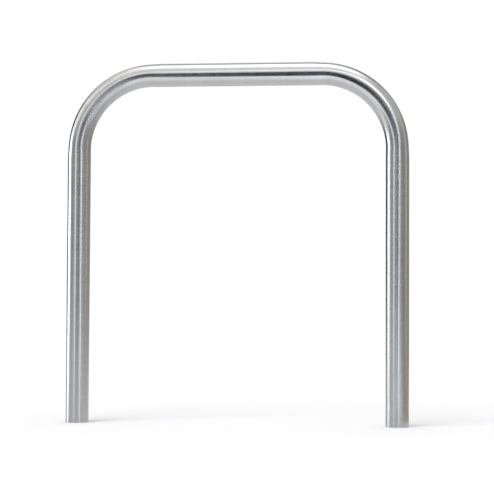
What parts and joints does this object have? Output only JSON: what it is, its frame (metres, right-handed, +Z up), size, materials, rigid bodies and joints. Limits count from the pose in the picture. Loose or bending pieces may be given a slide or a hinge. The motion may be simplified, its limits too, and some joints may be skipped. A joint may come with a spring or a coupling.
{
  "type": "bike rack",
  "caption": "Root-fixed cycle stand: a brushed stainless steel tube bent into an inverted U, with anchored roots that are cast into the ground.",
  "frame": {"origin": "on the ground line, midway between the two legs", "axes": "+Z up along the legs, +X along the top rail from the left leg to the right leg in the picture, +Y through the hoop, away from the picture's viewer"},
  "size_m": [0.7182, 0.16, 1.007],
  "materials": {
    "brushed_stainless": "satin, brushed round the tube",
    "drawn_bar": "plain drawn bar, dull",
    "weld_bead": "as welded, straw tinted",
    "plug_plastic": "moulded, fine matt"
  },
  "bodies": {
    "root": {"hoop_tube": "brushed_stainless", "left_anchor_bar": "drawn_bar", "right_anchor_bar": "drawn_bar", "left_anchor_welds": "weld_bead", "right_anchor_welds": "weld_bead", "left_root_plug": "plug_plastic", "right_root_plug": "plug_plastic"}
  },
  "joints": []
}
